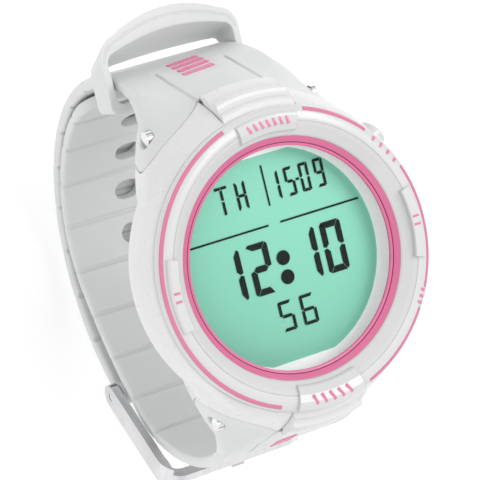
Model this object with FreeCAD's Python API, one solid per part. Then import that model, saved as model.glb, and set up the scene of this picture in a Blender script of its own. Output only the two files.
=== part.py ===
"""Wrist-worn dive computer: case, sealed display module, two buttons and a buckled two-piece strap.

Frame: millimetres, +Z out of the display, +Y towards 12 o'clock, +X towards 3 o'clock.
The origin is the centre of the flat outer face of the case back.
"""
import FreeCAD, Part
import math
import os

from FreeCAD import Vector

# ---- driving dimensions -------------------------------------------------------------------
CASE_R = 24.0               # round part of the case, widest
CASE_TOP_Z = 13.6           # ledge the bezel sits on
CASE_RIM_Z = 15.5           # top of the wall round the bezel
CASE_BOTTOM_Z = 0.8         # moulded underside; the case back stands proud of it
LENS_R = 19.3
LENS_Z = (12.4, 14.4)
MASK_SEAT_Z = 10.85
DISPLAY_POCKET_R = 18.8     # pocket for the display glass
DISPLAY_POCKET_Z = 8.6
MODULE_R = 17.4             # cavity for frame, board and cell
LENS_POCKET_R = 20.2

RING_R = (17.25, 18.6)      # coloured inner ring
RING_Z = (14.9, 15.55)      # lower and upper edge of its cone
BEZEL_R = 23.3
BEZEL_FIT_R = 22.6          # the part of the bezel inside the case wall
DOME_R = 20.84              # turned line on the crown of the bezel
DOME_Z = 17.03
INLAY_R = (22.45, 22.97)
INLAY_Z = (16.88, 16.62)    # inlay height at its inner and outer edge
VIEW_R = 17.0               # visible display window
VIEW_FLAT_Y = 16.1          # window is cut flat at 12 and 6 o'clock

PIN_Y = 22.6                # strap pins, from the centre of the case
PIN_Z = 5.6
PIN_R = 0.8
PIN_HEAD_R = 1.2
KNUCKLE_R = 4.6             # wing knuckles and their seats in the case
RECESS_R = 4.75
LUG_HALF = 6.2              # central lug block between the strap wings
SLOT_HALF = 6.35
LUG_END_R = 3.9
WEB_R = 4.1
LUG_CORNER_R = 1.6
PANEL_TIP_R = 5.42          # the panel's edge slides under the lip of the lug, about the pin
LIP_R = 5.65
LIP_ANGLE = 31.5            # lower edge of the lip, about the pin
LIP_ROOT_ANGLE = 58.0
PANEL_TIP_ANGLE = 33.0
WING_BOTTOM_Z = 2.4
PARTING_ANGLE = 30.0        # where wing and shoulder meet, about the pin

STRAP_HALF = 12.0
BUCKLE_HALF_T = 2.1
TAIL_HALF_T = 1.9
LOOP_CENTRE = (-1.0, -15.1)
GROOVE_W = 0.75
GROOVE_DEPTH = 0.45
SEAM_W = 0.5                # fine lines beside the central panel
SEAM_DEPTH = 0.45

BAR_PIN = (-22.44, -38.16)  # buckle hinge
CROSSBAR = (-35.8, -23.4)
BAR_KNUCKLE_R = 1.95
FRAME_T = 1.4
FRAME_GAP = 0.4
CROSSBAR_R = 0.85

BUTTON_ANGLES = (33.0, -33.0)
BUTTON_Z = 8.8
BUTTON_R = 2.3
CAP_R = (23.3, 26.4)        # inner and outer face of the button cap, from the centre
BUTTON_FLOOR = 22.4         # bottom of the pocket in the case
STEM_R = 0.92
CLIP_FACE = 19.6

BACK_R = 19.6
BACK_T = 1.5
HATCH_R = 12.6
CELL_R = 12.25              # coin cell 24.5 x 3.0
BOARD_TOP_Z = 7.02

# tangent arcs as (radius, turn in degrees); each chain turns clockwise in the Y-Z plane
BUCKLE_HALF_START = (27.9, 0.68)
BUCKLE_HALF_HEADING = -64.0
BUCKLE_HALF_ARCS = [(36.0, 26.0), (32.3, 132.0)]
TAIL_TIP_ANGLE = -8.0
TAIL_TIP_R = 30.0
TIP_ROUND = 8.0
TAIL_HALF_ARCS = [(TAIL_TIP_R, 54.0), (22.0, 48.0), (79.12, 17.0), (13.0, 29.0), (30.0, 54.0)]

# plan outline of the strap head and shoulders at several heights: right half as (x, y), from the middle;
# the third point of each is on the side of the central panel
HEAD_SECTIONS = [
    (-5.2, [(0.0, 31.0), (3.5, 30.99), (6.2, 30.97), (8.5, 30.93), (11.0, 30.75), (11.9, 29.9), (12.0, 28.0),
            (12.0, 24.0), (12.1, 18.0), (12.1, 15.5), (12.1, 13.2)]),
    (-2.0, [(0.0, 30.15), (3.5, 30.12), (6.2, 30.0), (8.5, 29.93), (11.4, 29.6), (12.5, 28.5), (12.9, 26.8),
            (13.4, 23.0), (14.4, 18.0), (14.7, 15.5), (14.8, 13.2)]),
    (1.2, [(0.0, 29.35), (3.5, 29.25), (6.2, 29.0), (8.5, 28.87), (11.6, 28.5), (13.1, 27.4), (13.8, 25.8),
           (15.0, 22.2), (16.3, 18.0), (16.8, 15.5), (17.0, 13.2)]),
    (3.6, [(0.0, 28.6), (3.5, 28.5), (6.2, 28.15), (8.5, 27.85), (11.4, 27.1), (13.3, 25.8), (14.3, 24.3),
           (15.5, 21.9), (16.7, 18.0), (17.3, 15.6), (17.6, 13.2)]),
    (6.4, [(0.0, 28.0), (3.5, 27.8), (6.2, 27.15), (8.5, 26.45), (11.2, 25.3), (13.2, 24.0), (14.6, 22.7),
           (15.9, 20.9), (17.1, 18.4), (18.0, 16.0), (18.6, 13.4)]),
    (10.0, [(0.0, 26.9), (3.5, 26.65), (6.2, 25.8), (8.5, 24.75), (11.2, 23.4), (13.2, 22.2), (14.9, 20.9),
            (16.3, 19.3), (17.8, 17.3), (19.1, 15.0), (19.9, 12.8)]),
    (13.0, [(0.0, 25.2), (3.5, 24.95), (6.2, 24.35), (8.5, 23.5), (11.0, 22.3), (13.0, 21.1), (14.7, 19.8),
            (16.0, 18.5), (17.4, 16.7), (18.7, 14.7), (19.4, 12.9)]),
    (15.6, [(0.0, 23.4), (3.5, 23.14), (6.2, 22.56), (8.5, 21.8), (11.0, 20.65), (13.0, 19.46), (14.7, 18.2),
            (15.9, 17.17), (17.3, 15.7), (18.7, 13.8), (19.5, 12.3)])]

os.makedirs("parts", exist_ok=True)


# ---- helpers --------------------------------------------------------------------------------
def save(shape, node):
    """Write one sub-part as a STEP file."""
    shape.exportStep("parts/" + node + ".step")
    print(node, len(shape.Solids), "solids,", round(shape.Volume, 2), "mm3, valid", shape.isValid())


def polar(radius, degrees, z=0.0):
    angle = math.radians(degrees)
    return Vector(radius * math.cos(angle), radius * math.sin(angle), z)


def on_plane(point, x=0.0):
    """A (y, z) pair as a point of the side plane."""
    return Vector(x, point[0], point[1])


def step_from(point, distance, degrees):
    angle = math.radians(degrees)
    return (point[0] + distance * math.cos(angle), point[1] + distance * math.sin(angle))


def cylinder_z(radius, z0, z1, centre=(0.0, 0.0)):
    return Part.makeCylinder(radius, z1 - z0, Vector(centre[0], centre[1], z0))


def tube_z(r_in, r_out, z0, z1):
    return cylinder_z(r_out, z0, z1).cut(cylinder_z(r_in, z0, z1))


def along(radius, r0, r1, angle):
    """Cylinder on a button's axis, between two distances from the centre of the case."""
    return Part.makeCylinder(radius, r1 - r0, polar(r0, angle, BUTTON_Z), polar(1.0, angle))


def cylinder_x(radius, x0, x1, centre):
    """Cylinder along X about a (y, z) centre."""
    return Part.makeCylinder(radius, x1 - x0, on_plane(centre, x0), Vector(1, 0, 0))


def box(x0, x1, y0, y1, z0, z1):
    return Part.makeBox(x1 - x0, y1 - y0, z1 - z0, Vector(x0, y0, z0))


def revolved(profile):
    """Closed (r, z) outline turned about the Z axis."""
    points = [Vector(r, 0, z) for r, z in profile]
    face = Part.Face(Part.makePolygon(points + [points[0]]))
    return face.revolve(Vector(0, 0, 0), Vector(0, 0, 1), 360)


def sector(shape, start, end):
    """The part of a shape between two angles about Z."""
    reach = 60.0
    middle = 0.5 * (start + end)
    corners = [Vector(0, 0, -60), polar(reach, start, -60), polar(reach, middle, -60), polar(reach, end, -60)]
    wedge = Part.Face(Part.makePolygon(corners + [corners[0]])).extrude(Vector(0, 0, 120))
    return shape.common(wedge)


def plan_prism(points, z0, z1):
    corners = [Vector(x, y, z0) for x, y in points]
    return Part.Face(Part.makePolygon(corners + [corners[0]])).extrude(Vector(0, 0, z1 - z0))


def turned(shape, degrees):
    """A copy turned about Z."""
    copy = shape.copy()
    copy.rotate(Vector(0, 0, 0), Vector(0, 0, 1), degrees)
    return copy


def united(shapes):
    return shapes[0].multiFuse(shapes[1:]).removeSplitter() if len(shapes) > 1 else shapes[0]


def mirrored_y(shape):
    return shape.mirror(Vector(0, 0, 0), Vector(0, 1, 0))


# ---- strap paths: chains of tangent arcs in the side plane ------------------------------------
def arc_chain(start, heading, arcs):
    """Follow clockwise tangent arcs; each item is (centre, radius, start angle, turn)."""
    chain = []
    point = start
    for radius, turn in arcs:
        centre = step_from(point, radius, heading - 90.0)
        chain.append((centre, radius, heading + 90.0, turn))
        point = step_from(centre, radius, heading + 90.0 - turn)
        heading -= turn
    return chain


def chain_point(chain, distance, offset=0.0):
    """Point and outward angle at a distance along a chain, moved outward by offset."""
    for centre, radius, start, turn in chain:
        length = radius * math.radians(turn)
        if distance <= length:
            angle = start - math.degrees(distance / radius)
            return step_from(centre, radius + offset, angle), angle
        distance -= length
    angle = chain[-1][2] - chain[-1][3]
    return step_from(chain[-1][0], chain[-1][1] + offset, angle), angle


def chain_length(chain):
    return sum(radius * math.radians(turn) for centre, radius, start, turn in chain)


def chain_edges(chain, offset):
    edges = []
    for centre, radius, start, turn in chain:
        angles = [start, start - turn / 2, start - turn]
        stops = [on_plane(step_from(centre, radius + offset, angle)) for angle in angles]
        edges.append(Part.Arc(*stops).toShape())
    return edges


def strip(chain, thickness, half_width, edge_radius):
    """Strap band: the chain thickened both ways, extruded across and its long edges rounded."""
    outer = chain_edges(chain, thickness / 2)
    inner = chain_edges(chain, -thickness / 2)
    first = Part.makeLine(inner[0].firstVertex().Point, outer[0].firstVertex().Point)
    last = Part.makeLine(outer[-1].lastVertex().Point, inner[-1].lastVertex().Point)
    wire = Part.Wire(Part.__sortEdges__(outer + inner + [first, last]))
    band = Part.Face(wire).extrude(Vector(2 * half_width, 0, 0))
    band.translate(Vector(-half_width, 0, 0))
    long_edges = [edge for edge in band.Edges if abs(abs(edge.CenterOfMass.x) - half_width) < 1e-6]
    arcs = [edge for edge in long_edges if edge.Length > 2 * thickness]
    return band.makeFillet(edge_radius, arcs)


def across_cutter(chain, distance, side, thickness):
    """Thin bar that cuts one groove across the strap, on its outer (+1) or inner (-1) face."""
    point, angle = chain_point(chain, distance, side * thickness / 2)
    bar = Part.makeBox(2 * STRAP_HALF + 2, 2 * GROOVE_DEPTH, GROOVE_W,
                       Vector(-STRAP_HALF - 1, -GROOVE_DEPTH, -GROOVE_W / 2))
    bar.rotate(Vector(0, 0, 0), Vector(1, 0, 0), angle)
    bar.translate(on_plane(point))
    return bar


buckle_chain = arc_chain(BUCKLE_HALF_START, BUCKLE_HALF_HEADING, BUCKLE_HALF_ARCS)
tail_tip = step_from(LOOP_CENTRE, TAIL_TIP_R, TAIL_TIP_ANGLE)
tail_chain = arc_chain(tail_tip, TAIL_TIP_ANGLE - 90.0, TAIL_HALF_ARCS)


# ---- shoulders and strap heads share one smooth form ------------------------------------------
def head_section(z, half):
    """Closed outline at one height: a smooth curve across the front, straight lines inside the case."""
    inside_x, inside_y = 10.0, 14.0
    left = [Vector(-x, y, z) for x, y in reversed(half[1:])]
    front = left + [Vector(x, y, z) for x, y in half]
    curve = Part.BSplineCurve()
    curve.interpolate(front)
    back = Part.makePolygon([front[-1], Vector(inside_x, inside_y, z), Vector(-inside_x, inside_y, z), front[0]])
    return Part.Wire([curve.toShape()] + back.Edges)


def make_head_form():
    return Part.makeLoft([head_section(z, half) for z, half in HEAD_SECTIONS], True, False)


def side_prism(points, half_width):
    """A (y, z) outline extruded across, either side of the middle."""
    corners = [on_plane(point, -half_width) for point in points]
    return Part.Face(Part.makePolygon(corners + [corners[0]])).extrude(Vector(2 * half_width, 0, 0))


def wing_gaps():
    """Both spaces beside the lug, open at their outer ends."""
    return [(-30.0, -SLOT_HALF), (SLOT_HALF, 30.0)]


head_form = make_head_form()
pin_12 = (PIN_Y, PIN_Z)


# ---- case body -----------------------------------------------------------------------------
def lug_knuckle(radius, half_width, corner):
    """Round end of the lug about the pin, with rounded corners; the strap slot uses it a little larger."""
    knuckle = cylinder_x(radius, -half_width, half_width, pin_12)
    rims = [edge for edge in knuckle.Edges if edge.Length > 6 * radius and abs(edge.CenterOfMass.x) > 1]
    return knuckle.makeFillet(corner, rims)


def lug_block():
    """Central lug at 12 o'clock: stepped down from the bezel to a lip, with a round end about the pin."""
    steps = revolved([
        (20.3, CASE_BOTTOM_Z), (20.3, CASE_TOP_Z), (22.75, CASE_TOP_Z), (22.75, CASE_RIM_Z), (24.1, 15.45),
        (24.55, 15.2), (24.8, 14.6), (25.4, 14.3), (26.0, 14.25), (26.3, 13.9), (26.35, 13.2), (26.2, 12.6),
        (26.35, 12.1), (26.75, 11.8), (27.15, 11.2), (27.5, 10.4), (27.65, 9.7), (27.6, 9.0), (27.3, 8.3),
        (27.3, CASE_BOTTOM_Z)])
    lip = side_prism([(20.0, PIN_Z), pin_12, step_from(pin_12, 12.0, LIP_ANGLE), (33.0, 17.0), (20.0, 17.0)],
                     LUG_HALF)
    lip = lip.cut(cylinder_x(LIP_R, -LUG_HALF, LUG_HALF, pin_12))
    root = side_prism([(20.0, PIN_Z), pin_12, step_from(pin_12, 12.0, LIP_ROOT_ANGLE), (20.0, 17.0)], LUG_HALF)
    inner = box(-LUG_HALF, LUG_HALF, 19.0, PIN_Y, CASE_BOTTOM_Z, 17.0)
    return steps.common(united([lug_knuckle(LUG_END_R, LUG_HALF, LUG_CORNER_R), lip, root, inner]))


def wing_recess():
    """Round seats for both wing knuckles at 12 o'clock, open underneath."""
    cuts = []
    for x0, x1 in wing_gaps():
        cuts.append(cylinder_x(RECESS_R, x0, x1, pin_12))
        cuts.append(box(x0, x1, 18.9, 34.0, -8.0, PIN_Z))
        below = [pin_12, step_from(pin_12, 14.0, PARTING_ANGLE), (34.0, PIN_Z)]
        cuts.append(side_prism(below, 30.0).common(box(x0, x1, 0.0, 60.0, -8.0, 20.0)))
    return united(cuts)


def shoulders():
    """The upper part of the shared form at 12 o'clock, carried out beyond the round case."""
    above = box(-30.0, 30.0, 0.0, 40.0, WING_BOTTOM_Z + 0.2, CASE_RIM_Z)
    return head_form.common(above).cut(box(-SLOT_HALF, SLOT_HALF, 22.0, 40.0, 0.0, 20.0))


def button_bore(angle):
    """Pocket for the cap, bore for the stem and seat for the clip."""
    pocket = along(BUTTON_R + 0.15, BUTTON_FLOOR, 30.0, angle)
    bore = along(STEM_R + 0.06, 15.0, 23.0, angle)
    return united([pocket, bore, along(1.6, 15.0, CLIP_FACE, angle)])


def make_case_body():
    body = revolved([
        (0.0, CASE_BOTTOM_Z), (20.3, CASE_BOTTOM_Z), (20.75, 1.1), (21.4, 2.2), (22.6, 4.6), (23.4, 6.3),
        (23.8, 7.5), (CASE_R, 8.9), (CASE_R, 11.0), (23.85, 13.2), (23.65, 15.0), (23.5, 15.35),
        (23.3, CASE_RIM_Z), (0.0, CASE_RIM_Z)])
    body = united([body, shoulders(), mirrored_y(shoulders())])
    body = body.cut(united([wing_recess(), mirrored_y(wing_recess())]))
    body = united([body, lug_block(), mirrored_y(lug_block())])
    cavity = united([
        cylinder_z(BACK_R + 0.1, -1.0, BACK_T + 0.05), cylinder_z(MODULE_R, 0.0, DISPLAY_POCKET_Z + 1),
        cylinder_z(DISPLAY_POCKET_R, DISPLAY_POCKET_Z, MASK_SEAT_Z + 1),
        cylinder_z(LENS_POCKET_R, MASK_SEAT_Z, CASE_TOP_Z + 4),
        cylinder_z(BEZEL_FIT_R + 0.04, CASE_TOP_Z, CASE_TOP_Z + 4)])
    body = body.cut(cavity)
    for angle in BUTTON_ANGLES:
        body = body.cut(button_bore(angle))
    for y in (PIN_Y, -PIN_Y):
        body = body.cut(cylinder_x(PIN_R + 0.02, -10.0, 10.0, (y, PIN_Z)))
    for x, y in screw_places():
        body = body.cut(cylinder_z(0.62, 0.0, 5.2, (x, y)))
    groove = Part.makeTorus(17.95, 0.37, Vector(0, 0, BACK_T + 0.34))
    return body.cut(groove)


def screw_places():
    return [(polar(18.9, angle).x, polar(18.9, angle).y) for angle in (50.0, 130.0, 230.0, 310.0)]


save(make_case_body(), "case_body")


# ---- case back and battery hatch -------------------------------------------------------------
PORT_XY = (0.0, 15.2)


def make_case_back():
    plate = cylinder_z(BACK_R, 0.0, BACK_T)
    rim = max(plate.Edges, key=lambda edge: edge.Length - 100 * edge.CenterOfMass.z)
    plate = plate.makeChamfer(0.35, [rim])
    cuts = [cylinder_z(HATCH_R, -1.0, 3.0), cylinder_z(HATCH_R + 0.95, -1.0, 0.75)]
    cuts.append(cylinder_z(0.8, -1.0, 3.0, PORT_XY))
    cuts.append(cylinder_z(1.25, -1.0, 0.5, PORT_XY))
    for place in screw_places():
        cuts.append(cylinder_z(0.66, -1.0, 3.0, place))
        cuts.append(cylinder_z(1.2, -1.0, 0.8, place))
    return plate.cut(united(cuts))


def make_back_screw(place):
    head = cylinder_z(1.12, 0.1, 0.78, place)
    shank = cylinder_z(0.6, 0.7, 5.0, place)
    slot = box(place[0] - 1.3, place[0] + 1.3, place[1] - 0.13, place[1] + 0.13, 0.0, 0.38)
    return head.fuse(shank).cut(slot).removeSplitter()


def make_hatch():
    """Quarter-turn battery cap with a two-ended coin slot and an O-ring groove."""
    cap = cylinder_z(HATCH_R + 0.85, 0.0, 0.7).fuse(cylinder_z(HATCH_R - 0.08, 0.0, 2.0))
    cap = cap.cut(cylinder_z(HATCH_R - 1.6, 1.2, 3.0))
    cap = cap.cut(Part.makeTorus(HATCH_R - 0.42, 0.38, Vector(0, 0, 1.3)))
    for x0, x1 in ((-9.0, -3.0), (3.0, 9.0)):
        cap = cap.cut(box(x0, x1, -0.9, 0.9, -1.0, 0.62))
    return cap.removeSplitter()


save(make_case_back(), "case_back")
save(Part.makeCompound([make_back_screw(place) for place in screw_places()]), "case_back_screws")
save(Part.makeTorus(17.95, 0.33, Vector(0, 0, BACK_T + 0.34)), "case_back_gasket")
save(make_hatch(), "battery_hatch")
save(Part.makeTorus(HATCH_R - 0.42, 0.36, Vector(0, 0, 1.3)), "battery_hatch_o_ring")
save(cylinder_z(1.2, 0.12, 0.46, PORT_XY), "sensor_port_filter")


# ---- inside the case ---------------------------------------------------------------------------
def make_module_frame():
    ring = tube_z(12.6, 17.0, 2.3, 8.5)
    ring = ring.cut(cylinder_z(16.05, 6.15, 9.0))
    ring = ring.cut(cylinder_z(2.05, 1.0, 7.0, PORT_XY))
    notch = box(-1.6, 1.6, -14.0, -12.0, 1.0, 6.4)
    return ring.cut(notch)


def make_board():
    board = cylinder_z(15.9, 6.2, 7.0)
    pegs = [cylinder_z(0.9, 5.0, 8.0, (x, 0.0)) for x in (-13.5, 13.5)]
    return board.cut(united(pegs))


def make_board_chips():
    """Four packages on top of the board: (x, y, width, depth, height)."""
    places = [(-6.0, 3.0, 7.0, 7.0, 1.1), (4.0, 4.5, 5.0, 4.0, 0.9),
              (-4.5, -7.0, 4.0, 3.0, 0.9), (10.0, 1.0, 2.5, 3.2, 0.8)]
    chips = []
    for x, y, w, d, height in places:
        chips.append(box(x - w / 2, x + w / 2, y - d / 2, y + d / 2, BOARD_TOP_Z, BOARD_TOP_Z + height))
    return Part.makeCompound(chips)


def make_battery_contacts():
    """Centre spring leaf above the cell and a side leaf against its rim."""
    leaf = box(-1.2, 1.2, -6.0, 6.0, 5.95, 6.15)
    tip = box(-1.2, 1.2, -1.5, 1.5, 5.5, 5.95)
    side = box(-1.2, 1.2, -12.95, -12.7, 2.6, 6.1)
    return Part.makeCompound([leaf.fuse(tip).removeSplitter(), side])


def make_backlight():
    plate = cylinder_z(17.3, 8.6, 9.7)
    return plate.common(box(-18.0, 18.0, -12.8, 12.8, 8.0, 10.0))


def make_mask():
    window = cylinder_z(VIEW_R, 10.0, 12.0).common(box(-20, 20, -VIEW_FLAT_Y, VIEW_FLAT_Y, 10.0, 12.0))
    return cylinder_z(20.1, MASK_SEAT_Z + 0.02, MASK_SEAT_Z + 0.2).cut(window)


save(cylinder_z(CELL_R, 2.3, 5.3), "coin_cell")
save(make_battery_contacts(), "battery_contacts")
save(make_module_frame(), "module_frame")
save(make_board(), "circuit_board")
save(make_board_chips(), "board_chips")
save(cylinder_z(1.95, 1.75, 5.9, PORT_XY), "pressure_sensor")
save(cylinder_z(4.2, 7.05, 7.6, (6.5, -6.5)), "buzzer_disc")
save(make_backlight(), "backlight_plate")
connectors = [box(-7.0, 7.0, y - 0.55, y + 0.55, 7.05, 9.85) for y in (13.5, -13.5)]
save(Part.makeCompound(connectors), "display_connectors")
save(cylinder_z(18.2, 9.9, MASK_SEAT_Z - 0.02), "lcd_panel")
save(make_mask(), "display_mask")
save(cylinder_z(LENS_R, LENS_Z[0], LENS_Z[1]), "lens")
save(revolved([(19.35, 11.1), (20.12, 11.1), (20.12, 14.3), (19.38, 14.3), (19.38, 11.5)]), "lens_gasket")


# ---- bezel, coloured ring and marks ---------------------------------------------------------------
INLAY_SPANS = [(108.6, 248.0), (44.5, 73.0), (-27.0, 23.2), (-71.5, -35.5)]
PAD_SPANS = [(165.0, 195.0), (-15.0, 15.0)]
PLAQUE_12 = (76.3, 103.7)
PLAQUE_6 = (-105.0, -75.0)
PAD_TOP_Z = 17.6
PLAQUE_12_Z = 17.62
PLAQUE_6_Z = 17.66


def dome():
    """Crowned ring with a turned line on its crown; its skirt drops inside the case wall."""
    foot_z = LENS_Z[1] + 0.05
    inner = RING_R[1] + 0.02
    return revolved([
        (inner, foot_z), (inner, RING_Z[1]), (18.85, 15.8), (19.5, 16.25), (20.2, 16.72), (20.6, 16.93),
        (DOME_R - 0.09, DOME_Z - 0.02), (DOME_R - 0.04, DOME_Z - 0.12), (DOME_R + 0.04, DOME_Z - 0.12),
        (DOME_R + 0.09, DOME_Z + 0.02), (21.3, 17.08), (21.8, 17.06), (22.2, 16.97), (INLAY_R[0], INLAY_Z[0]),
        (INLAY_R[1], INLAY_Z[1]), (23.15, 16.45), (23.27, 16.2), (BEZEL_R, 15.95), (BEZEL_R, CASE_RIM_Z + 0.03),
        (BEZEL_FIT_R, CASE_RIM_Z + 0.03), (BEZEL_FIT_R, CASE_TOP_Z + 0.02), (20.3, CASE_TOP_Z + 0.02),
        (20.3, foot_z)])


def make_bezel():
    pad = revolved([(20.15, 15.2), (20.15, 17.4), (20.3, PAD_TOP_Z), (21.65, PAD_TOP_Z), (21.95, 17.4),
                    (22.15, 16.8), (22.15, 15.2)])
    plaque_12 = revolved([(19.35, 15.2), (19.35, 16.55), (19.6, 16.85), (20.7, 17.45), (21.7, PLAQUE_12_Z),
                          (22.1, 17.5), (22.3, 17.2), (22.3, 15.2)])
    plaque_6 = revolved([(19.3, 15.2), (19.3, 16.5), (19.55, 16.8), (20.7, 17.45), (21.9, PLAQUE_6_Z),
                         (22.9, 17.4), (23.25, 17.0), (23.25, 15.6), (22.3, 15.2)])
    raised = [sector(pad, *span) for span in PAD_SPANS]
    raised += [sector(plaque_12, *PLAQUE_12), sector(plaque_6, *PLAQUE_6)]
    bezel = united([dome()] + raised)
    inner, outer = INLAY_R[0] - 0.02, INLAY_R[1] + 0.02
    inlay_bed = revolved([(inner, INLAY_Z[0] - 0.27), (inner, 18.0), (outer, 18.0), (outer, INLAY_Z[1] - 0.27)])
    for start, end in INLAY_SPANS:
        bezel = bezel.cut(sector(inlay_bed, start - 0.05, end + 0.05))
    return bezel.cut(make_bezel_marks())


def make_inlays():
    inner, outer = INLAY_R
    high, low = INLAY_Z
    band = revolved([(inner, high - 0.25), (inner, high + 0.02), (inner + 0.07, high + 0.06),
                     (outer - 0.07, low + 0.1), (outer, low + 0.03), (outer, low - 0.25)])
    return Part.makeCompound([sector(band, start, end) for start, end in INLAY_SPANS])


def make_inner_ring():
    """Conical ring with one turned groove, over the edge of the lens."""
    foot_z = LENS_Z[1] + 0.05
    return revolved([
        (RING_R[0] - 0.1, foot_z), (RING_R[0] - 0.1, RING_Z[0] - 0.06), (RING_R[0], RING_Z[0]), (17.57, 14.96),
        (17.6, 14.84), (17.68, 14.84), (17.72, 15.02), (18.45, 15.5), (RING_R[1] - 0.02, RING_Z[1]),
        (RING_R[1], RING_Z[1] - 0.04), (RING_R[1], foot_z)])


def bar_mark(radius, angle, length, width, slant, z, height):
    """Small raised bar; its long side is radial before the slant."""
    bar = box(radius - length / 2, radius + length / 2, -width / 2, width / 2, z, z + height)
    bar.rotate(Vector(radius, 0, 0), Vector(0, 0, 1), slant)
    return turned(bar, angle)


def make_bezel_marks():
    """Paired bars at 3 and 9 o'clock, plain bars on both plaques and short bars beside the buttons."""
    marks = []
    for angle in (0.7, 180.3):
        for shift in (-1.75, 1.75):
            marks.append(bar_mark(21.06, angle + shift, 1.05, 0.34, 0.0, PAD_TOP_Z - 0.1, 0.14))
    for index in range(7):
        marks.append(bar_mark(21.1, 81.0 + 3.0 * index, 1.3, 0.34, 24.0, PLAQUE_12_Z - 0.22, 0.22))
    for index in range(5):
        marks.append(bar_mark(21.6, -98.0 + 4.0 * index, 1.6, 0.4, 24.0, PLAQUE_6_Z - 0.2, 0.22))
    for first, count, pitch in ((27.0, 4, 4.2), (-33.5, 3, 2.6)):
        for index in range(count):
            marks.append(bar_mark(22.3, first + pitch * index, 0.75, 0.42, 0.0, 16.75, 0.27))
    return Part.makeCompound(marks)


save(make_bezel(), "bezel")
save(make_inlays(), "bezel_inlays")
save(make_inner_ring(), "inner_ring")
save(make_bezel_marks(), "bezel_marks")


# ---- buttons ------------------------------------------------------------------------------------
def make_button(angle):
    """Cap with a ring pocket for its spring, on a stem with grooves for the clip and the seal."""
    cap = along(BUTTON_R, CAP_R[0], CAP_R[1], angle)
    face = max(cap.Edges, key=lambda edge: edge.CenterOfMass.Length)
    cap = cap.makeFillet(0.55, [face])
    spring_pocket = along(1.8, CAP_R[0], CAP_R[0] + 0.85, angle).cut(along(1.2, 22.0, 25.0, angle))
    stem = along(STEM_R, 18.9, CAP_R[0] + 0.2, angle)
    clip_groove = along(STEM_R, 19.15, 19.45, angle).cut(along(0.6, 19.0, 19.6, angle))
    seal_groove = along(STEM_R, 20.5, 21.2, angle).cut(along(0.62, 20.0, 22.0, angle))
    return united([cap, stem]).cut(spring_pocket).cut(clip_groove).cut(seal_groove)


def make_button_spring(angle):
    """Compression spring between the pocket floor and the cap."""
    wire_r = 0.1
    coil_r = 1.5
    length = CAP_R[0] - BUTTON_FLOOR - 0.12 - 2 * wire_r
    helix = Part.makeHelix(length / 2.0, length, coil_r)
    section = Part.Wire([Part.makeCircle(wire_r, Vector(coil_r, 0, 0), Vector(0, 1, 0))])
    spring = Part.Wire(helix.Edges).makePipeShell([section], True, True)
    spring.rotate(Vector(0, 0, 0), Vector(0, 1, 0), 90.0)
    spring.translate(Vector(BUTTON_FLOOR + wire_r + 0.04, 0, BUTTON_Z))
    return turned(spring, angle)


def make_button_seal(angle):
    ring = Part.makeTorus(0.79, 0.17, Vector(0, 0, 0))
    ring.rotate(Vector(0, 0, 0), Vector(0, 1, 0), 90.0)
    ring.translate(Vector(20.85, 0, BUTTON_Z))
    return turned(ring, angle)


for name, button_angle in zip(("upper", "lower"), BUTTON_ANGLES):
    save(make_button(button_angle), "button_" + name)
    save(make_button_spring(button_angle), "button_spring_" + name)
    save(make_button_seal(button_angle), "button_seal_" + name)
    clip = along(1.35, 19.17, 19.43, button_angle).cut(along(0.62, 19.0, 19.6, button_angle))
    save(clip, "button_clip_" + name)


# ---- strap pins ------------------------------------------------------------------------------------
def make_strap_pin(y):
    """Headed pin through both wings and the lug; its far end is tapped for a screw."""
    pin = cylinder_x(PIN_R, -14.2, 14.2, (y, PIN_Z)).fuse(cylinder_x(PIN_HEAD_R, -15.0, -14.0, (y, PIN_Z)))
    return pin.cut(cylinder_x(0.47, 10.0, 15.0, (y, PIN_Z))).removeSplitter()


def make_pin_screw(y):
    screw = cylinder_x(0.45, 10.5, 14.3, (y, PIN_Z)).fuse(cylinder_x(PIN_HEAD_R, 14.22, 15.0, (y, PIN_Z)))
    slot = box(14.7, 15.5, y - 1.7, y + 1.7, PIN_Z - 0.14, PIN_Z + 0.14)
    return screw.cut(slot).removeSplitter()


save(make_strap_pin(PIN_Y), "strap_pin_12")
save(make_strap_pin(-PIN_Y), "strap_pin_6")
save(Part.makeCompound([make_pin_screw(PIN_Y), make_pin_screw(-PIN_Y)]), "strap_pin_screws")


# ---- raised strap marks ----------------------------------------------------------------------------
def strap_marks(chain, thickness, start, count, pitch, length, width):
    """Plain slanted bars moulded on the outer face of a strap half, near its head."""
    marks = []
    for index in range(count):
        point, angle = chain_point(chain, start + pitch * index, thickness / 2 - 0.06)
        bar = Part.makeBox(length, 0.22, width, Vector(-length / 2, 0, -width / 2))
        bar.rotate(Vector(0, 0, 0), Vector(0, 1, 0), 12.0)
        bar.rotate(Vector(0, 0, 0), Vector(1, 0, 0), angle)
        bar.translate(on_plane(point))
        marks.append(bar)
    return Part.makeCompound(marks)


def buckle_half_marks():
    return strap_marks(buckle_chain, BUCKLE_HALF_T, 3.3, 4, 1.75, 6.0, 0.9)


def tail_half_marks():
    return strap_marks(tail_chain, TAIL_HALF_T, chain_length(tail_chain) - 6.6, 3, 1.3, 3.6, 0.6)


save(buckle_half_marks(), "strap_marks_12")
save(tail_half_marks(), "strap_marks_6")


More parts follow.
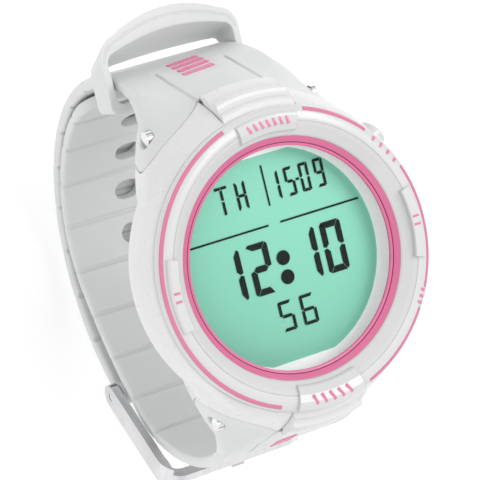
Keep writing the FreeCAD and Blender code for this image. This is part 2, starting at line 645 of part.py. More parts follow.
# ---- strap halves -----------------------------------------------------------------------------------
def head_blank(points):
    """Side outline of a head: round in front of the pin, flat underneath, then the strap's inner face."""
    front_low = (PIN_Y - math.sqrt(KNUCKLE_R ** 2 - (PIN_Z - WING_BOTTOM_Z) ** 2), WING_BOTTOM_Z)
    knuckle_end = step_from(pin_12, KNUCKLE_R, PARTING_ANGLE - 2)
    wall = Part.Arc(on_plane(front_low), on_plane(step_from(pin_12, KNUCKLE_R, 130.0)), on_plane(knuckle_end))
    bottom_turn = (points[0][0] - 2.2, WING_BOTTOM_Z)
    far_y = 36.0
    corners = [knuckle_end, (far_y, knuckle_end[1] + 4.0), (far_y, points[-1][1])]
    corners += list(reversed(points)) + [bottom_turn, front_low]
    rest = Part.makePolygon([on_plane(corner) for corner in corners])
    blank = Part.Face(Part.Wire([wall.toShape()] + rest.Edges)).extrude(Vector(40.0, 0, 0))
    blank.translate(Vector(-20.0, 0, 0))
    return blank


def panel_grooves():
    """Fine lines between the wings and the central panel, cut to an even depth below the outer face."""
    faces = [(half[2][1] - SEAM_DEPTH, z) for z, half in HEAD_SECTIONS[:6]]
    outline = faces + [(40.0, faces[-1][1]), (40.0, faces[0][1])]
    cuts = []
    for x in (-LUG_HALF, LUG_HALF):
        slit = box(x - SEAM_W / 2, x + SEAM_W / 2, 0.0, 60.0, -10.0, 20.0)
        cuts.append(side_prism(outline, 20.0).common(slit))
    return united(cuts)


def head_cuts():
    """Slot for the lug block, relief under its lip, bores for the pin and seats for its heads."""
    tip_end = step_from(pin_12, 12.0, PANEL_TIP_ANGLE)
    above = side_prism([(14.0, -2.0), (PIN_Y, -2.0), pin_12, tip_end, (40.0, 20.0), (14.0, 20.0)], SLOT_HALF)
    relief = side_prism([pin_12, step_from(pin_12, 12.0, 8.0), tip_end], SLOT_HALF)
    relief = relief.cut(cylinder_x(PANEL_TIP_R, -SLOT_HALF, SLOT_HALF, pin_12))
    bore = cylinder_x(PIN_R + 0.05, -20.0, 20.0, pin_12)
    seat = PIN_HEAD_R + 0.2
    seats = [cylinder_x(seat, 13.9, 20.0, pin_12), cylinder_x(seat, -20.0, -13.9, pin_12)]
    return united([lug_knuckle(WEB_R, SLOT_HALF, LUG_CORNER_R), above, relief, bore] + seats)


def make_strap(chain, thickness, inner_points, extra):
    """One strap half at 12 o'clock; the 6 o'clock half is built mirrored and flipped back."""
    wide = strip(chain, thickness, STRAP_HALF, 0.55)
    head = head_form.common(head_blank(inner_points))
    panel_side = [pin_12, step_from(pin_12, 9.0, PANEL_TIP_ANGLE + 1.0), (34.0, PIN_Z - 1.0)]
    panel = head_form.common(side_prism(panel_side, LUG_HALF))
    strap = united([wide, head, panel] + extra)
    return strap.cut(head_cuts()).cut(panel_grooves())


def with_grooves(strap, chain, thickness, first, pitch, count):
    for index in range(count):
        distance = first + pitch * index
        for side in (1, -1):
            strap = strap.cut(across_cutter(chain, distance, side, thickness))
    return strap


def make_buckle_half():
    knuckle = cylinder_x(BAR_KNUCKLE_R, -STRAP_HALF, STRAP_HALF, BAR_PIN)
    inner_points = [chain_point(buckle_chain, d, -BUCKLE_HALF_T / 2)[0] for d in (0.0, 2.0, 4.0, 6.0)]
    strap = make_strap(buckle_chain, BUCKLE_HALF_T, inner_points, [knuckle])
    strap = strap.cut(cylinder_x(0.75, -20.0, 20.0, BAR_PIN))
    slot = cylinder_x(4.6, -1.6, 1.6, BAR_PIN)
    strap = strap.cut(slot)
    strap = with_grooves(strap, buckle_chain, BUCKLE_HALF_T, 22.0, 8.3, 8)
    return strap.cut(buckle_half_marks())


def make_tail_half():
    """Built with its head turned to 12 o'clock so that both halves share the head, then mirrored."""
    flipped = []
    for centre, radius, start, turn in tail_chain:
        flipped.append(((-centre[0], centre[1]), radius, 180.0 - start, -turn))
    length = chain_length(tail_chain)
    inner_points = []
    for distance in (0.0, 2.0, 4.0, 6.0):
        point, angle = chain_point(tail_chain, length - distance, -TAIL_HALF_T / 2)
        inner_points.append((-point[0], point[1]))
    strap = make_strap(flipped, TAIL_HALF_T, inner_points, [])
    strap = mirrored_y(strap).cut(tip_cutter())
    strap = with_grooves(strap, tail_chain, TAIL_HALF_T, 10.0, 8.2, 9)
    for index in range(7):
        point, angle = chain_point(tail_chain, 5.9 + 8.2 * index)
        hole = oblong_cutter()
        hole.rotate(Vector(0, 0, 0), Vector(1, 0, 0), angle)
        hole.translate(on_plane(point))
        strap = strap.cut(hole)
    return strap.cut(tail_half_marks())


def tip_cutter():
    """What is cut from the end of the tail to round both of its corners."""
    square = box(-STRAP_HALF - 1, STRAP_HALF + 1, -1.0, TIP_ROUND, -4.0, 4.0)
    inset = STRAP_HALF - TIP_ROUND
    discs = [cylinder_z(TIP_ROUND, -5.0, 5.0, (x, TIP_ROUND)) for x in (-inset, inset)]
    middle = box(-inset, inset, 0.0, TIP_ROUND + 1, -5.0, 5.0)
    cutter = square.cut(united(discs + [middle]))
    cutter.rotate(Vector(0, 0, 0), Vector(1, 0, 0), TAIL_TIP_ANGLE - 90.0)
    cutter.translate(on_plane(tail_tip))
    return cutter


def oblong_cutter():
    """Oblong hole across the strap: round ends of 3.4 mm, 4.6 mm wide in all."""
    radius = 1.7
    shift = 0.6
    ends = [Part.makeCylinder(radius, 6.0, Vector(x, -3.0, 0), Vector(0, 1, 0)) for x in (-shift, shift)]
    return united(ends + [box(-shift, shift, -3.0, 3.0, -radius, radius)])


save(make_buckle_half(), "strap_buckle_half")
save(make_tail_half(), "strap_tail_half")


# ---- strap keeper --------------------------------------------------------------------------------
KEEPER_Z = (-15.8, -9.6)    # far and near end of the loop, at its middle
KEEPER_SLOPE = 0.2          # the loop hangs lower at 3 o'clock
KEEPER_FOOT_Y = 26.3
KEEPER_T = 1.5


def arched_outline(half, foot, shoulder, crown, corner, z):
    """Closed outline: flat foot, straight legs, rounded corners and an arched top; its plane is sloped."""
    def place(x, y):
        return Vector(x, y, z - KEEPER_SLOPE * x)

    low = min(corner, 1.2)
    bend = 0.29 * corner
    low_bend = 0.29 * low
    arch_x = half - corner
    arch_y = shoulder + 0.12 * corner
    knee_y = shoulder - corner
    side_y = shoulder - bend + 0.05
    edges = [Part.makeLine(place(-half + low, foot), place(half - low, foot)),
             Part.Arc(place(half - low, foot), place(half - low_bend, foot + low_bend),
                      place(half, foot + low)).toShape(),
             Part.makeLine(place(half, foot + low), place(half, knee_y)),
             Part.Arc(place(half, knee_y), place(half - bend, side_y), place(arch_x, arch_y)).toShape(),
             Part.Arc(place(arch_x, arch_y), place(0.0, crown), place(-arch_x, arch_y)).toShape(),
             Part.Arc(place(-arch_x, arch_y), place(bend - half, side_y), place(-half, knee_y)).toShape(),
             Part.makeLine(place(-half, knee_y), place(-half, foot + low)),
             Part.Arc(place(-half, foot + low), place(low_bend - half, foot + low_bend),
                      place(-half + low, foot)).toShape()]
    return Part.Wire(edges)


def flared(far, near, spare=0.0):
    """Loft from the far to the near outline; spare carries both ends a little further."""
    z0, z1 = KEEPER_Z
    slope = spare / (z1 - z0)
    first = [a - slope * (b - a) for a, b in zip(far, near)]
    last = [b + slope * (b - a) for a, b in zip(far, near)]
    return Part.makeLoft([arched_outline(*first, z0 - spare), arched_outline(*last, z1 + spare)], True, True)


def make_keeper():
    """Loose loop round the buckle half; its outer band is arched and flares towards the head."""
    foot = KEEPER_FOOT_Y
    outer = flared((13.5, foot, 34.8, 36.2, 2.4), (13.8, foot, 38.1, 41.0, 3.2))
    inner = flared((12.35, foot + KEEPER_T, 33.2, 33.7, 1.3), (12.45, foot + KEEPER_T, 35.7, 37.5, 1.6), 0.5)
    keeper = outer.cut(inner)
    line_out = flared((13.0, foot, 34.3, 35.6, 2.2), (13.2, foot - 1.0, 37.1, 39.55, 2.6), 0.5)
    line_in = flared((12.75, foot, 34.1, 35.3, 2.2), (12.95, foot - 1.0, 36.85, 39.15, 2.6), 0.5)
    rim = Part.makeBox(40.0, 11.0, 1.0, Vector(-20.0, 34.0, KEEPER_Z[1] - 0.3))
    rim = sheared(rim)
    return keeper.cut(line_out.cut(line_in).common(rim))


def sheared(shape):
    """The same slope as the keeper's outlines, given to a whole shape."""
    slope = FreeCAD.Matrix()
    slope.A31 = -KEEPER_SLOPE
    return shape.transformGeometry(slope)


save(make_keeper(), "strap_keeper")


# ---- buckle ------------------------------------------------------------------------------------------
def buckle_direction():
    dy = CROSSBAR[0] - BAR_PIN[0]
    dz = CROSSBAR[1] - BAR_PIN[1]
    return math.degrees(math.atan2(dz, dy)), math.hypot(dy, dz)


def placed_on_buckle(shape):
    """Move a shape drawn along +Y from the hinge into the line from hinge to crossbar."""
    angle, length = buckle_direction()
    shape.rotate(Vector(0, 0, 0), Vector(1, 0, 0), angle)
    shape.translate(on_plane(BAR_PIN))
    return shape


def make_buckle_frame():
    """U-shaped steel frame: two side plates and a crossbar, rounded at its corners."""
    angle, length = buckle_direction()
    half = STRAP_HALF + FRAME_GAP + FRAME_T
    end_r = 2.2
    plates = united([cylinder_x(end_r, -half, half, (0, 0)), box(-half, half, 0.0, length, -end_r, end_r),
                     cylinder_x(end_r, -half, half, (length, 0))])
    plan = box(-half, half, -4.0, length + CROSSBAR_R, -4.0, 4.0)
    corners = [edge for edge in plan.Edges if abs(edge.tangentAt(0).z) > 0.9 and edge.CenterOfMass.y > 0]
    plan = plan.makeFillet(4.0, corners)
    inner = STRAP_HALF + FRAME_GAP
    window = box(-inner, inner, -4.0, length - CROSSBAR_R, -4.0, 4.0)
    front = [edge for edge in window.Edges if abs(edge.tangentAt(0).z) > 0.9 and edge.CenterOfMass.y > 0]
    window = window.makeFillet(2.4, front)
    over = box(-inner + 0.1, inner - 0.1, length - 4.0, length + 4.0, CROSSBAR_R, 4.0)
    under = box(-inner + 0.1, inner - 0.1, length - 4.0, length + 4.0, -4.0, -CROSSBAR_R)
    frame = plates.common(plan).cut(window).cut(over).cut(under)
    frame = frame.cut(cylinder_x(0.62, -half - 1, half + 1, (0, 0)))
    return placed_on_buckle(frame)


def make_tongue():
    """Tongue with an eye on the spring bar; it lies on the outer side of the crossbar."""
    angle, length = buckle_direction()
    eye = cylinder_x(1.75, -1.2, 1.2, (0, 0))
    side = CROSSBAR_R + 0.15
    outline = [(0.0, 0.35), (6.0, 0.75), (length - 1.5, side), (length + 0.7, side),
               (length + 0.9, side + 0.45), (length - 0.6, side + 1.1), (6.0, 1.95), (0.0, 1.75)]
    points = [on_plane(point, -1.2) for point in outline]
    blade = Part.Face(Part.makePolygon(points + [points[0]])).extrude(Vector(2.4, 0, 0))
    tongue = united([eye, blade]).cut(cylinder_x(0.72, -2.0, 2.0, (0, 0)))
    return placed_on_buckle(tongue)


def make_spring_bar():
    half = STRAP_HALF + FRAME_GAP + FRAME_T - 0.1
    body = cylinder_x(0.66, -STRAP_HALF, STRAP_HALF, BAR_PIN)
    return body.fuse(cylinder_x(0.56, -half, half, BAR_PIN)).removeSplitter()


save(make_buckle_frame(), "buckle_frame")
save(make_tongue(), "buckle_tongue")
save(make_spring_bar(), "buckle_spring_bar")
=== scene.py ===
"""Looks of a wrist dive computer: studio, materials, display segments and moulded strap pieces."""

import math

import bmesh
import bpy
from mathutils import Matrix, Vector


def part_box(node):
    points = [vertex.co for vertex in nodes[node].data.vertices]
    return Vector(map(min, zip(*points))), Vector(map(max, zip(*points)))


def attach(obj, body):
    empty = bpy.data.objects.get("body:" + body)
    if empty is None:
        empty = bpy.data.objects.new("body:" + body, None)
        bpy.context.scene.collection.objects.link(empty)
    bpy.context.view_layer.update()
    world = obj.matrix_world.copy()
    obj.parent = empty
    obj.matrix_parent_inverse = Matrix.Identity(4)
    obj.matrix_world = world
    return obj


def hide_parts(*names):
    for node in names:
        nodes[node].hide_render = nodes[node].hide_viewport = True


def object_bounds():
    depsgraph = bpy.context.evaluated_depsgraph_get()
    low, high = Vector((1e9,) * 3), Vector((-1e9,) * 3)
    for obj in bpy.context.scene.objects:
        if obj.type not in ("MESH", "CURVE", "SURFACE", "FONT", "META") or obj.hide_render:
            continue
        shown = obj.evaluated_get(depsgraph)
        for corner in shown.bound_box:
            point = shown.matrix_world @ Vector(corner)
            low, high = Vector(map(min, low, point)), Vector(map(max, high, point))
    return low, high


MM = 0.001

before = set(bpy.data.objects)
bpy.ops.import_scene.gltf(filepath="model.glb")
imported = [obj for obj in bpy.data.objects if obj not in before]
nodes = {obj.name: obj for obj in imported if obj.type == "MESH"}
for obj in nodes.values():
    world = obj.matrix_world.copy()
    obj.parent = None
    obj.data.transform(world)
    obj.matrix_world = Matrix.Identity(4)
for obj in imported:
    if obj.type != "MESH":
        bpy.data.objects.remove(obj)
cad_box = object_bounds()

# ---- camera: first, so that every later choice is judged through it ---------------------------
CAMERA_PLACE = Vector((-158.8, 54.5, 338.9)) * MM
CAMERA_AIM = Vector((0.4184, -0.1371, -0.8979))
CAMERA_UP = Vector((0.2701, 0.9626, -0.0211))
CAMERA_LENS = 180.0
CAMERA_SENSOR = 36.0


def make_camera():
    data = bpy.data.cameras.new("camera")
    data.lens = CAMERA_LENS
    data.sensor_width = CAMERA_SENSOR
    data.clip_start = 0.01
    camera = bpy.data.objects.new("camera", data)
    back = -CAMERA_AIM.normalized()
    right = CAMERA_UP.cross(back).normalized()
    turn = Matrix((right, back.cross(right), back)).transposed()
    camera.matrix_world = Matrix.Translation(CAMERA_PLACE) @ turn.to_4x4()
    bpy.context.collection.objects.link(camera)
    bpy.context.scene.camera = camera


# ---- studio ------------------------------------------------------------------------------------
def make_area_light(name, place, aim, size, power):
    data = bpy.data.lights.new(name, "AREA")
    data.shape = "SQUARE"
    data.size = size
    data.energy = power
    lamp = bpy.data.objects.new(name, data)
    lamp.location = place
    lamp.rotation_euler = (Vector(aim) - Vector(place)).to_track_quat("-Z", "Y").to_euler()
    bpy.context.collection.objects.link(lamp)


def make_studio():
    """Two soft lamps and a sky that darkens towards the horizon."""
    world = bpy.data.worlds.new("studio")
    world.use_nodes = True
    tree = world.node_tree
    background = tree.nodes["Background"]
    direction = tree.nodes.new("ShaderNodeTexCoord")
    parts = tree.nodes.new("ShaderNodeSeparateXYZ")
    ramp = tree.nodes.new("ShaderNodeValToRGB")
    ramp.color_ramp.elements[0].position = 0.10
    ramp.color_ramp.elements[0].color = (0.25, 0.25, 0.26, 1.0)
    ramp.color_ramp.elements[1].position = 0.36
    ramp.color_ramp.elements[1].color = (1.0, 1.0, 1.0, 1.0)
    tree.links.new(direction.outputs["Generated"], parts.inputs["Vector"])
    tree.links.new(parts.outputs["Z"], ramp.inputs["Fac"])
    tree.links.new(ramp.outputs["Color"], background.inputs["Color"])
    background.inputs["Strength"].default_value = 0.88
    scene = bpy.context.scene
    scene.world = world
    scene.view_settings.view_transform = "Standard"
    make_area_light("key", (0.22, 0.10, 0.42), (0, 0, 0), 0.22, 0.60)
    make_area_light("fill", (-0.32, -0.22, 0.24), (0, 0, -0.01), 0.30, 0.16)


# ---- materials -----------------------------------------------------------------------------------
def tint(colour, factor):
    return tuple(min(1.0, channel * factor) for channel in colour) + (1.0,)


class Recipe:
    """A node material whose colour, roughness and relief are all driven by procedural noise."""

    def __init__(self, name, roughness=0.4, **shader):
        self.material = bpy.data.materials.new(name)
        self.material.use_nodes = True
        self.tree = self.material.node_tree
        self.shader = self.tree.nodes["Principled BSDF"]
        self.shader.inputs["Roughness"].default_value = roughness
        for socket, value in shader.items():
            self.shader.inputs[socket.replace("_", " ")].default_value = value
        self.place = self.node("ShaderNodeTexCoord").outputs["Object"]

    def node(self, kind, **settings):
        node = self.tree.nodes.new(kind)
        for key, value in settings.items():
            setattr(node, key, value)
        return node

    def link(self, source, target):
        self.tree.links.new(source, target)

    def stretched(self, scale):
        mapping = self.node("ShaderNodeMapping")
        mapping.inputs["Scale"].default_value = scale
        self.link(self.place, mapping.inputs["Vector"])
        return mapping.outputs["Vector"]

    def noise(self, per_metre, detail=3.0, vector=None):
        noise = self.node("ShaderNodeTexNoise")
        noise.inputs["Scale"].default_value = per_metre
        noise.inputs["Detail"].default_value = detail
        self.link(vector or self.place, noise.inputs["Vector"])
        return noise.outputs["Fac"]

    def ranged(self, value, low, high, start=0.3, stop=0.7):
        span = self.node("ShaderNodeMapRange")
        for socket, number in (("From Min", start), ("From Max", stop), ("To Min", low), ("To Max", high)):
            span.inputs[socket].default_value = number
        self.link(value, span.inputs["Value"])
        return span.outputs["Result"]

    def blend(self, factor, first, second):
        mix = self.node("ShaderNodeMix", data_type="RGBA")
        self.link(factor, mix.inputs["Factor"])
        for socket, colour in ((6, first), (7, second)):
            if isinstance(colour, tuple):
                mix.inputs[socket].default_value = colour
            else:
                self.link(colour, mix.inputs[socket])
        return mix.outputs[2]

    def colour(self, colour, spread=0.02, per_metre=180.0, vector=None):
        """Base colour that wanders a little either side of one value."""
        factor = self.ranged(self.noise(per_metre, 4.0, vector), 0.0, 1.0)
        result = self.blend(factor, tint(colour, 1.0 - spread), tint(colour, 1.0 + spread))
        self.link(result, self.shader.inputs["Base Color"])
        return result

    def roughness(self, low, high, per_metre=400.0, vector=None):
        self.link(self.ranged(self.noise(per_metre, 3.0, vector), low, high), self.shader.inputs["Roughness"])

    def relief(self, per_metre, height, strength=0.3, vector=None, rounding=0.0):
        """Fine surface relief; rounding softens the solid's edges as a mould does."""
        bump = self.node("ShaderNodeBump")
        if rounding:
            bevel = self.node("ShaderNodeBevel", samples=8)
            bevel.inputs["Radius"].default_value = rounding
            self.link(bevel.outputs["Normal"], bump.inputs["Normal"])
        bump.inputs["Strength"].default_value = strength
        bump.inputs["Distance"].default_value = height
        self.link(self.noise(per_metre, 3.0, vector), bump.inputs["Height"])
        self.link(bump.outputs["Normal"], self.shader.inputs["Normal"])


WHITE = (0.79, 0.795, 0.79)
# painted shade: a darker copy of the case white for the bezel and buttons, standing in for the grey shading on
# the bezel's dome
BEZEL_WHITE_SHADED = (0.72, 0.725, 0.72)
STRAP_WHITE = (0.74, 0.75, 0.75)
PINK = (0.80, 0.21, 0.38)
RING_PINK = (0.74, 0.17, 0.34)
# painted shade: the colour of the shadow in the ring's turned step
RING_STEP_SHADE = (0.22, 0.03, 0.08)
MINT = (0.26, 0.71, 0.53)
STEEL = (0.66, 0.66, 0.67)

RING_GROOVE_R = 17.64 * MM
CASE_ROUNDING = 0.25 * MM       # how far the shading softens the solid's edges
BEZEL_ROUNDING = 0.12 * MM


def moulded(name, colour, low, high, coat=0.0, fineness=2600.0, strength=0.12, rounding=0.0, **shader):
    recipe = Recipe(name, Coat_Weight=coat, Coat_Roughness=0.08, IOR=1.5, **shader)
    recipe.colour(colour, 0.012, 120.0)
    recipe.roughness(low, high, 700.0)
    recipe.relief(fineness, 0.003 * MM, strength, rounding=rounding)
    return recipe.material


def elastomer():
    recipe = Recipe("strap_elastomer", Subsurface_Weight=0.12, Subsurface_Scale=0.0015, IOR=1.48)
    recipe.shader.inputs["Subsurface Radius"].default_value = (1.0, 0.85, 0.75)
    recipe.colour(STRAP_WHITE, 0.018, 90.0)
    recipe.roughness(0.36, 0.50, 500.0)
    recipe.relief(1800.0, 0.00003, 0.25)
    return recipe.material


def brushed(name, colour, along, low=0.22, high=0.42):
    """Steel with fine scratches; along is the stretch of the noise on each axis."""
    recipe = Recipe(name, Metallic=1.0)
    lines = recipe.stretched(along)
    recipe.colour(colour, 0.08, 1.0, lines)
    recipe.roughness(low, high, 1.0, lines)
    recipe.relief(1.0, 0.00001, 0.35, lines)
    return recipe.material


def ring_material():
    """Pink satin ring; a thin line of painted shade runs along the turned groove, where the step's shadow
    falls.
    """
    recipe = Recipe("ring_satin_pink", IOR=1.5)
    parts = recipe.node("ShaderNodeSeparateXYZ")
    recipe.link(recipe.place, parts.inputs["Vector"])
    flat = recipe.node("ShaderNodeCombineXYZ")
    recipe.link(parts.outputs["X"], flat.inputs["X"])
    recipe.link(parts.outputs["Y"], flat.inputs["Y"])
    radius = recipe.node("ShaderNodeVectorMath", operation="LENGTH")
    recipe.link(flat.outputs["Vector"], radius.inputs[0])
    from_groove = recipe.node("ShaderNodeMath", operation="SUBTRACT")
    recipe.link(radius.outputs["Value"], from_groove.inputs[0])
    from_groove.inputs[1].default_value = RING_GROOVE_R
    away = recipe.node("ShaderNodeMath", operation="ABSOLUTE")
    recipe.link(from_groove.outputs[0], away.inputs[0])
    # painted shade: dark maroon within 0.03 to 0.09 mm of the groove radius, standing in for the step's shadow
    step_shadow = recipe.ranged(away.outputs[0], 1.0, 0.0, 0.03 * MM, 0.09 * MM)
    pink = recipe.colour(RING_PINK, 0.03, 150.0)
    recipe.link(recipe.blend(step_shadow, pink, RING_STEP_SHADE + (1.0,)), recipe.shader.inputs["Base Color"])
    recipe.roughness(0.28, 0.40, 600.0)
    recipe.relief(2400.0, 0.00002, 0.2)
    return recipe.material


def display_material():
    """Reflective display glass: mint with painted light, lighter towards the top right and darker to the lower
    left, with a fine cell grain.
    """
    recipe = Recipe("display_mint", IOR=1.5)
    # painted light: the mint is blended lighter towards the top right, the side the light falls from, and
    # darker to the lower left
    lit_corner_slope = recipe.node("ShaderNodeVectorMath", operation="DOT_PRODUCT")
    recipe.link(recipe.place, lit_corner_slope.inputs[0])
    lit_corner_slope.inputs[1].default_value = (0.6, 0.8, 0.0)
    factor = recipe.ranged(lit_corner_slope.outputs["Value"], 0.0, 1.0, -17.0 * MM, 15.0 * MM)
    painted_light_gradient = recipe.blend(factor, tint(MINT, 0.88), tint(MINT, 1.08))
    grain = recipe.ranged(recipe.noise(5000.0, 2.0), 0.0, 0.10)
    recipe.link(recipe.blend(grain, painted_light_gradient, tint(MINT, 0.7)), recipe.shader.inputs["Base Color"])
    recipe.roughness(0.30, 0.42, 900.0)
    recipe.relief(5200.0, 0.000005, 0.2)
    return recipe.material


def lens_material():
    """Clear lens: passes light straight through and mirrors by its angle."""
    recipe = Recipe("lens_clear", roughness=0.02)
    tree = recipe.tree
    clear = recipe.node("ShaderNodeBsdfTransparent")
    clear.inputs["Color"].default_value = (0.99, 0.998, 0.995, 1.0)
    gloss = recipe.node("ShaderNodeBsdfGlossy")
    recipe.link(recipe.ranged(recipe.noise(60.0, 2.0), 0.015, 0.04), gloss.inputs["Roughness"])
    fresnel = recipe.node("ShaderNodeFresnel")
    fresnel.inputs["IOR"].default_value = 1.22
    front = recipe.node("ShaderNodeMath", operation="SUBTRACT")
    front.inputs[0].default_value = 1.0
    recipe.link(recipe.node("ShaderNodeNewGeometry").outputs["Backfacing"], front.inputs[1])
    sheen = recipe.node("ShaderNodeMath", operation="MULTIPLY")
    recipe.link(fresnel.outputs["Fac"], sheen.inputs[0])
    recipe.link(front.outputs[0], sheen.inputs[1])
    mix = recipe.node("ShaderNodeMixShader")
    recipe.link(sheen.outputs[0], mix.inputs["Fac"])
    recipe.link(clear.outputs["BSDF"], mix.inputs[1])
    recipe.link(gloss.outputs["BSDF"], mix.inputs[2])
    tree.nodes.remove(recipe.shader)
    recipe.link(mix.outputs["Shader"], tree.nodes["Material Output"].inputs["Surface"])
    return recipe.material


def dress(material, *names):
    """Give CAD nodes a finished material."""
    for name in names:
        for slot in nodes[name].material_slots:
            slot.material = material


def even_shading(*names):
    """Shade CAD nodes by the area of their faces, so that thin slivers don't show."""
    for name in names:
        weighted = nodes[name].modifiers.new("weighted", "WEIGHTED_NORMAL")
        weighted.keep_sharp = True
        weighted.weight = 80


def make_materials():
    white = moulded("case_white", WHITE, 0.26, 0.36, fineness=450.0, strength=0.02, rounding=CASE_ROUNDING)
    gloss = moulded("bezel_white", BEZEL_WHITE_SHADED, 0.16, 0.26, coat=0.4, fineness=900.0,
                    rounding=BEZEL_ROUNDING)
    soft = elastomer()
    pink = moulded("inlay_pink", PINK, 0.25, 0.38, coat=0.3)
    buckle = brushed("steel_brushed", STEEL, (2400.0, 160.0, 160.0), 0.07, 0.16)
    polished = brushed("steel_polished", tint(STEEL, 1.2)[:3], (700.0, 900.0, 900.0), 0.08, 0.16)
    back = brushed("steel_back", STEEL, (200.0, 4000.0, 200.0))
    black = moulded("seal_black", (0.02, 0.02, 0.02), 0.5, 0.65)
    grey = moulded("frame_grey", (0.04, 0.04, 0.045), 0.4, 0.55)
    board = moulded("board_green", (0.02, 0.12, 0.05), 0.25, 0.4, coat=0.3)
    brass = brushed("contact_brass", (0.75, 0.55, 0.22), (900.0, 900.0, 900.0))
    ceramic = moulded("sensor_ceramic", (0.72, 0.68, 0.60), 0.35, 0.5)
    filter_disc = moulded("filter_sinter", (0.30, 0.28, 0.26), 0.6, 0.8)
    # painted light: the mask and backlight plate glow a little, lifting the shade in the hollow under the lens
    mask = moulded("mask_print", (0.86, 0.88, 0.87), 0.45, 0.6, Emission_Color=(1.0, 1.0, 1.0, 1.0),
                   Emission_Strength=0.22)
    dress(white, "case_body")
    dress(gloss, "bezel", "button_upper", "button_lower")
    dress(soft, "strap_buckle_half", "strap_tail_half", "strap_keeper", "lens_gasket", "display_connectors")
    dress(pink, "bezel_inlays", "bezel_marks", "strap_marks_12", "strap_marks_6")
    dress(buckle, "buckle_frame", "buckle_tongue")
    dress(polished, "strap_pin_12", "strap_pin_6", "strap_pin_screws", "buckle_spring_bar", "case_back_screws",
          "button_spring_upper", "button_spring_lower", "button_clip_upper", "button_clip_lower")
    dress(back, "case_back", "battery_hatch", "coin_cell")
    dress(black, "case_back_gasket", "battery_hatch_o_ring", "button_seal_upper", "button_seal_lower",
          "board_chips")
    dress(grey, "module_frame")
    dress(board, "circuit_board")
    dress(brass, "battery_contacts", "buzzer_disc")
    dress(ceramic, "pressure_sensor")
    dress(filter_disc, "sensor_port_filter")
    dress(mask, "display_mask", "backlight_plate")
    dress(ring_material(), "inner_ring")
    dress(display_material(), "lcd_panel")
    dress(lens_material(), "lens")
    return soft


# ---- moulded strap pieces ----------------------------------------------------------------------
STRAP_VOXEL = 0.18 * MM         # finest step of the remade strap halves
KEEPER_VOXEL = 0.14 * MM
WELD = 0.001 * MM


def moulded_copy(name, node, body, material, voxel, passes):
    """A soft piece remade from its CAD solid with every edge and groove rounded as in a mould."""
    mesh = bmesh.new()
    mesh.from_mesh(nodes[node].data)
    bmesh.ops.remove_doubles(mesh, verts=mesh.verts, dist=WELD)
    data = bpy.data.meshes.new(name)
    mesh.to_mesh(data)
    mesh.free()
    piece = bpy.data.objects.new(name, data)
    bpy.context.collection.objects.link(piece)
    piece.matrix_world = nodes[node].matrix_world.copy()
    remesh = piece.modifiers.new("remesh", "REMESH")
    remesh.mode = "VOXEL"
    remesh.voxel_size = voxel
    smooth = piece.modifiers.new("smooth", "SMOOTH")
    smooth.factor = 0.5
    smooth.iterations = passes
    bpy.context.view_layer.update()
    ready = piece.evaluated_get(bpy.context.evaluated_depsgraph_get())
    shaped = bpy.data.meshes.new_from_object(ready)
    piece.modifiers.clear()
    piece.data = shaped
    shaped.materials.clear()
    shaped.materials.append(material)
    shaped.polygons.foreach_set("use_smooth", [True] * len(shaped.polygons))
    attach(piece, body)
    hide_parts(node)
    print(name, len(shaped.polygons), "faces")


def make_strap(material):
    moulded_copy("strap_upper_moulded", "strap_buckle_half", "buckle_half", material, STRAP_VOXEL, 3)
    moulded_copy("strap_lower_moulded", "strap_tail_half", "tail_half", material, STRAP_VOXEL, 3)
    moulded_copy("keeper_moulded", "strap_keeper", "keeper", material, KEEPER_VOXEL, 5)


# ---- display segments ----------------------------------------------------------------------------
SEGMENT_LIFT = 0.10 * MM        # the segments' height over the display glass
SEGMENT_DEPTH = 0.02 * MM
SEGMENT_ROUNDING = 0.05 * MM


def digit_outlines(x, y, width, height, bar, gap, lit):
    """Outlines of the lit bars of one seven-bar digit with its lower left corner at (x, y)."""
    half = bar / 2
    left, right, low, high, middle = x, x + width, y, y + height, y + height / 2
    nick = 0.35 * bar
    shapes = {
        "a": [(left + gap + nick, high), (right - gap - nick, high), (right - bar - gap, high - bar),
              (left + bar + gap, high - bar), (left + gap, high - nick)],
        "d": [(left + gap + nick, low), (right - gap - nick, low), (right - bar - gap, low + bar),
              (left + bar + gap, low + bar)],
        "g": [(left + half + gap, middle), (left + bar + gap, middle + half),
              (right - bar - gap, middle + half), (right - half - gap, middle),
              (right - bar - gap, middle - half), (left + bar + gap, middle - half)],
        "b": [(right, high - gap - nick), (right, middle + gap + 0.3 * half), (right - half, middle + gap),
              (right - bar, middle + half + gap), (right - bar, high - bar - gap), (right - nick, high - gap)],
        "c": [(right, middle - gap - 0.3 * half), (right, low + gap + nick), (right - nick, low + gap),
              (right - bar, low + bar + gap), (right - bar, middle - half - gap), (right - half, middle - gap)],
    }
    for mirror, source in (("f", "b"), ("e", "c")):
        shapes[mirror] = [(left + right - px, py) for px, py in shapes[source]]
    return [shapes[key] for key in lit]


LIT = {"0": "abcdef", "1": "bc", "2": "abged", "5": "afgcd", "6": "afgcde", "9": "abfgcd", "H": "bcefg"}


def disc_outline(x, y, radius, steps=40):
    return [(x + radius * math.cos(math.tau * k / steps), y + radius * math.sin(math.tau * k / steps))
            for k in range(steps)]


def bar_outline(x0, y0, x1, y1):
    return [(x0, y0), (x1, y0), (x1, y1), (x0, y1)]


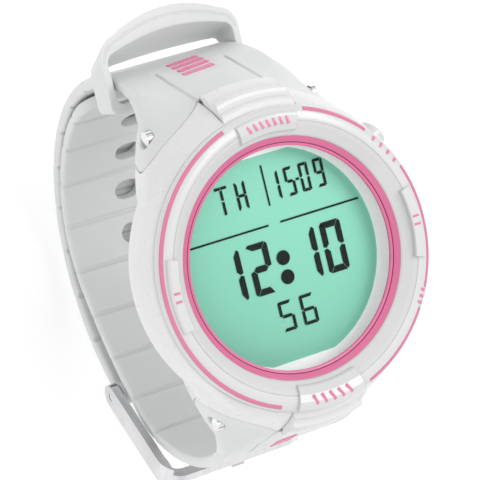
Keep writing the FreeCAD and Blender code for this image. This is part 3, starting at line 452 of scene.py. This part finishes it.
def make_segments(name, outlines, material, face_z):
    """Thin plates over the display glass, one for each outline in millimetres."""
    mesh = bmesh.new()
    for outline in outlines:
        face = mesh.faces.new([mesh.verts.new((px * MM, py * MM, face_z)) for px, py in outline])
        lifted = bmesh.ops.extrude_face_region(mesh, geom=[face])
        tops = [item for item in lifted["geom"] if isinstance(item, bmesh.types.BMVert)]
        bmesh.ops.translate(mesh, verts=tops, vec=(0, 0, SEGMENT_DEPTH))
    bmesh.ops.recalc_face_normals(mesh, faces=mesh.faces)
    data = bpy.data.meshes.new(name)
    mesh.to_mesh(data)
    mesh.free()
    piece = bpy.data.objects.new(name, data)
    piece.data.materials.append(material)
    bpy.context.collection.objects.link(piece)
    rounding = piece.modifiers.new("rounding", "BEVEL")
    rounding.width = SEGMENT_ROUNDING
    rounding.segments = 2
    rounding.affect = "EDGES"
    rounding.limit_method = "ANGLE"
    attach(piece, "case")
    return piece


def make_display():
    ink = moulded("segment_ink", (0.010, 0.015, 0.013), 0.45, 0.6, Specular_IOR_Level=0.1)
    face_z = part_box("lcd_panel")[1][2] + SEGMENT_LIFT
    big = dict(width=3.7, height=8.1, bar=1.02, gap=0.07)
    small = dict(height=4.5, bar=0.46, gap=0.05)
    time = digit_outlines(-10.4, -4.9, lit=LIT["1"], **big) + digit_outlines(-5.45, -4.9, lit=LIT["2"], **big)
    time += digit_outlines(2.95, -4.9, lit=LIT["1"], **big) + digit_outlines(7.65, -4.9, lit=LIT["0"], **big)
    time += [disc_outline(0.45, y, 1.15) for y in (-0.2, -3.25)]
    seconds = digit_outlines(-2.4, -11.4, 2.5, 4.75, 0.5, 0.06, LIT["5"])
    seconds += digit_outlines(1.4, -11.4, 2.6, 4.75, 0.5, 0.06, LIT["6"])
    date = digit_outlines(1.2, 8.6, 1.6, lit=LIT["1"], **small)
    date += digit_outlines(3.8, 8.6, 1.7, lit=LIT["5"], **small)
    date += digit_outlines(6.45, 8.6, 1.65, lit=LIT["0"], **small)
    date += digit_outlines(9.05, 8.6, 1.7, lit=LIT["9"], **small)
    date.append(bar_outline(5.68, 10.68, 6.25, 11.06))
    day = [bar_outline(-8.25, 12.6, -7.25, 13.04), bar_outline(-7.15, 12.6, -6.15, 13.04),
           bar_outline(-7.42, 10.95, -6.98, 12.5), bar_outline(-7.42, 8.7, -6.98, 10.75)]
    day += digit_outlines(-4.85, 8.6, 1.8, lit=LIT["H"], **small)
    rules = [bar_outline(-14.4, 5.1, -0.7, 5.4), bar_outline(1.4, 5.1, 15.5, 5.4),
             bar_outline(0.18, 8.1, 0.46, 14.5)]
    for name, outlines in (("display_time", time), ("display_seconds", seconds), ("display_date", date),
                           ("display_weekday", day), ("display_rules", rules)):
        make_segments(name, outlines, ink, face_z)


# ---- floor -----------------------------------------------------------------------------------------
FLOOR_SIZE = 3.0


def make_floor():
    bpy.ops.mesh.primitive_plane_add(size=FLOOR_SIZE, location=(0, 0, cad_box[0][2]))
    floor = bpy.context.object
    floor.name = "floor"
    recipe = Recipe("floor_pale", roughness=0.6, Emission_Color=(1.0, 1.0, 1.0, 1.0),
                    Emission_Strength=0.34)
    recipe.colour((0.85, 0.85, 0.85), 0.004, 6.0)
    floor.data.materials.append(recipe.material)


make_camera()
make_studio()
strap_material = make_materials()
even_shading("case_body", "bezel", "inner_ring")
make_strap(strap_material)
make_display()
make_floor()
